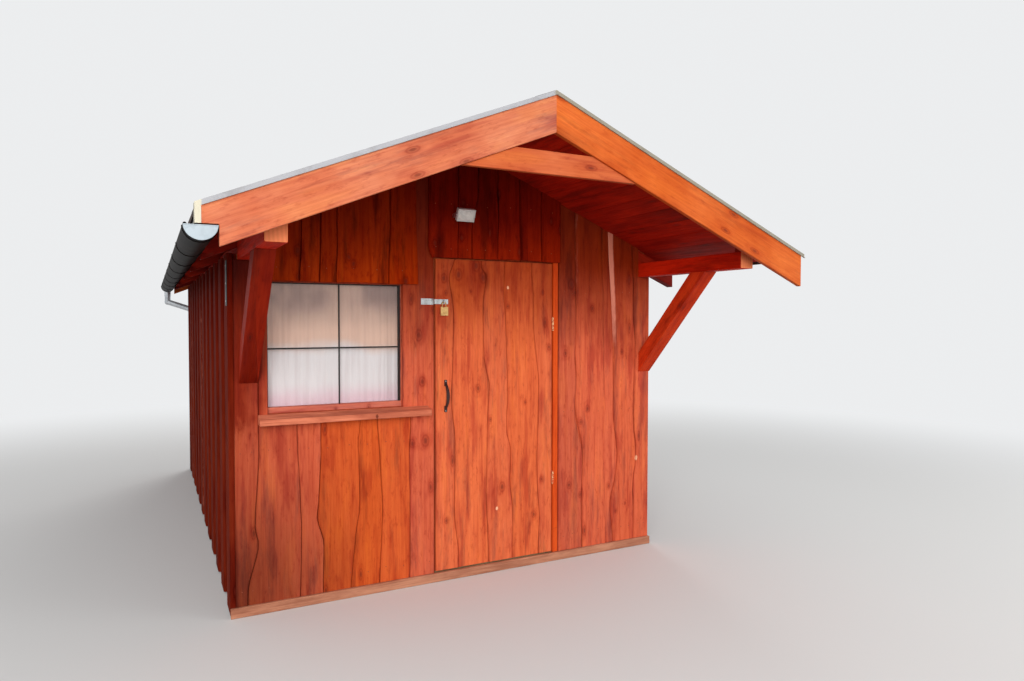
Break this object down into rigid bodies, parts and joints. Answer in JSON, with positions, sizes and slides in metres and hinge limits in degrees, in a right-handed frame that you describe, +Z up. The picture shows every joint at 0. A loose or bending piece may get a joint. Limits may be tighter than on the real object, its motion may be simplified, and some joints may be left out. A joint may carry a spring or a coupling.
{
  "type": "boathouse",
  "caption": "Red timber boathouse with vertical boards, a ledged side-hung door, a fixed window, a braced roof over the front and a gutter on the left eave.",
  "frame": {"origin": "on the ground, in the middle of the walls in plan", "axes": "+X along the front wall towards its right end, +Y from the front wall into the depth, +Z up"},
  "size_m": [3.4655, 5.808, 2.8065],
  "materials": {
    "raw_timber": "bare weathered softwood",
    "base_rail_wood": "worn pinkish wood stain",
    "front_boards": "orange-red wood stain, satin",
    "red_boards": "dark red wood stain, matt",
    "frame_timber": "red wood stain, satin",
    "barge_timber": "pale orange wood stain, satin",
    "door_boards": "orange-red wood stain, satin",
    "sill_timber": "weathered brown wood stain",
    "roof_felt": "mineral felt, matt",
    "pale_metal": "pale grey paint, satin",
    "zinc": "galvanised, dull",
    "dark_iron": "black, matt",
    "hinge_steel": "dull",
    "bright_steel": "zinc plated",
    "padlock_brass": "brushed",
    "window_glass": "clear",
    "curtain_net": "net",
    "lamp_grey": "light grey paint"
  },
  "bodies": {
    "frame": {"base_bearers": "raw_timber", "floor_boards": "raw_timber", "base_rail": "base_rail_wood", "corner_posts": "frame_timber", "wall_studs": "frame_timber", "eave_beams": "frame_timber", "left_brace": "frame_timber", "right_brace": "frame_timber", "front_wall_left": "front_boards", "front_wall_over_door": "front_boards", "front_wall_right": "front_boards", "door_jamb_batten": "front_boards", "window_head_boards": "front_boards", "gable_boards": "front_boards", "left_wall": "red_boards", "right_wall": "red_boards", "rear_wall": "red_boards", "left_rafters": "frame_timber", "right_rafters": "frame_timber", "front_verge_rafters": "frame_timber", "left_roof_boards": "red_boards", "right_roof_boards": "red_boards", "left_shingles": "roof_felt", "right_shingles": "roof_felt", "ridge_cap": "roof_felt", "front_barge_left": "barge_timber", "front_barge_right": "barge_timber", "rear_barge": "barge_timber", "collar_tie": "barge_timber", "front_verge_trim": "pale_metal", "rear_verge_trim": "pale_metal", "eave_drips": "pale_metal", "gutter": "zinc", "gutter_brackets": "zinc", "downpipe": "zinc", "frame_hinge_leaves": "hinge_steel", "hasp_plate": "bright_steel", "window_frame": "frame_timber", "window_glass": "window_glass", "window_sill": "sill_timber", "curtain": "curtain_net", "curtain_rod": "bright_steel", "floodlight": "lamp_grey", "floodlight_bracket": "bright_steel", "corner_plate": "dark_iron"},
    "door": {"door_leaf": "door_boards", "door_ledges": "door_boards", "door_hinge_leaves": "hinge_steel", "door_handle": "dark_iron", "hasp_strap": "bright_steel", "padlock": "padlock_brass"}
  },
  "joints": [
    {"name": "door_hinge", "type": "hinge", "parent": "frame", "child": "door", "pos_m": [0.623, -2.206, 1.1], "axis": [0, 0, 1], "range_deg": [0, 110]}
  ]
}
